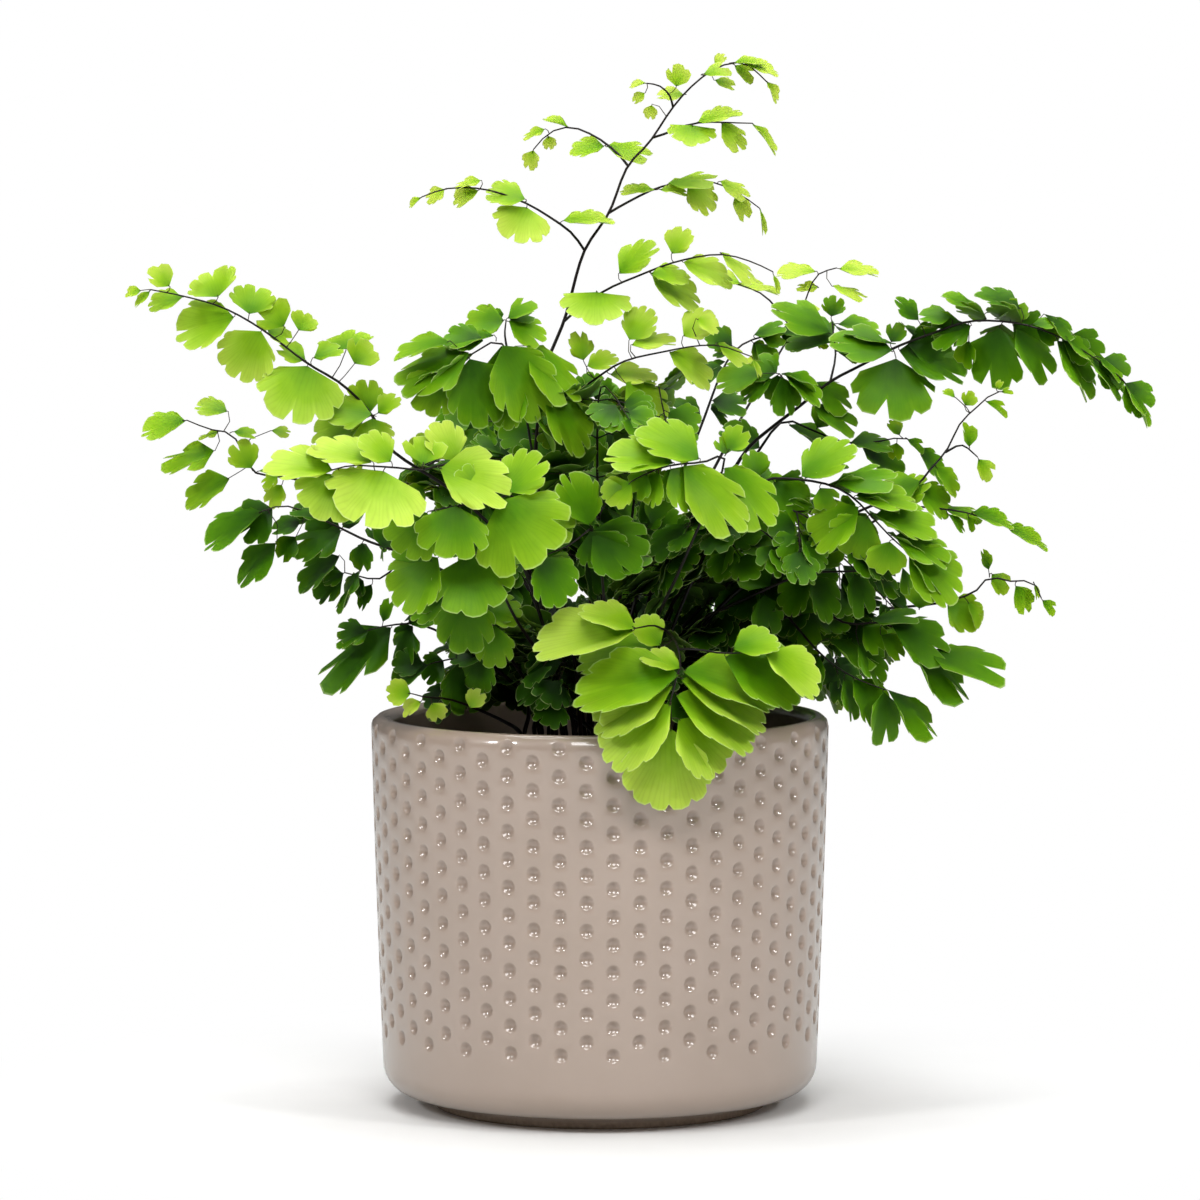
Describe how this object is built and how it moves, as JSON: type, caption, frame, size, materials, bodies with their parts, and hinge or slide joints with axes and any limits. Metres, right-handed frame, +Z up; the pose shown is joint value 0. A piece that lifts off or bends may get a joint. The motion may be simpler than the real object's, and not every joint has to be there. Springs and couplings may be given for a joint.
{
  "type": "potted maidenhair fern",
  "caption": "Maidenhair fern with wiry arching fronds of small fan-shaped leaflets, in a round glazed cover pot with dimples in rows.",
  "frame": {"origin": "centre of the pot's foot, on the surface that it stands on", "axes": "+Z up; the front of the plant, with the frond that lies over the rim, faces -Y"},
  "size_m": [0.3099, 0.203, 0.3218],
  "materials": {
    "glaze": "satin",
    "mix": "matte",
    "rootstock": "matte",
    "mature_frond": "satin",
    "young_frond": "satin"
  },
  "bodies": {
    "root": {"pot": "glaze", "soil": "mix", "rhizome": "rootstock", "frond_01": "young_frond", "frond_02": "young_frond", "frond_03": "mature_frond", "frond_04": "mature_frond", "frond_05": "young_frond", "frond_06": "mature_frond", "frond_07": "young_frond", "frond_08": "mature_frond", "frond_09": "mature_frond", "frond_10": "mature_frond", "frond_11": "young_frond", "frond_12": "mature_frond", "frond_13": "mature_frond", "frond_14": "mature_frond", "frond_15": "mature_frond", "frond_16": "mature_frond", "frond_17": "young_frond", "frond_18": "mature_frond", "frond_19": "mature_frond", "frond_20": "mature_frond", "frond_21": "mature_frond", "frond_22": "young_frond", "frond_23": "young_frond", "frond_24": "mature_frond", "frond_25": "mature_frond", "frond_26": "mature_frond", "frond_27": "mature_frond", "frond_28": "mature_frond", "frond_29": "mature_frond", "frond_30": "mature_frond", "frond_31": "mature_frond", "frond_32": "mature_frond", "frond_33": "mature_frond", "frond_34": "mature_frond", "frond_35": "mature_frond", "frond_36": "mature_frond", "frond_37": "mature_frond", "frond_38": "mature_frond", "frond_39": "mature_frond", "frond_40": "mature_frond", "frond_41": "mature_frond", "frond_42": "mature_frond", "frond_43": "mature_frond"}
  },
  "joints": []
}
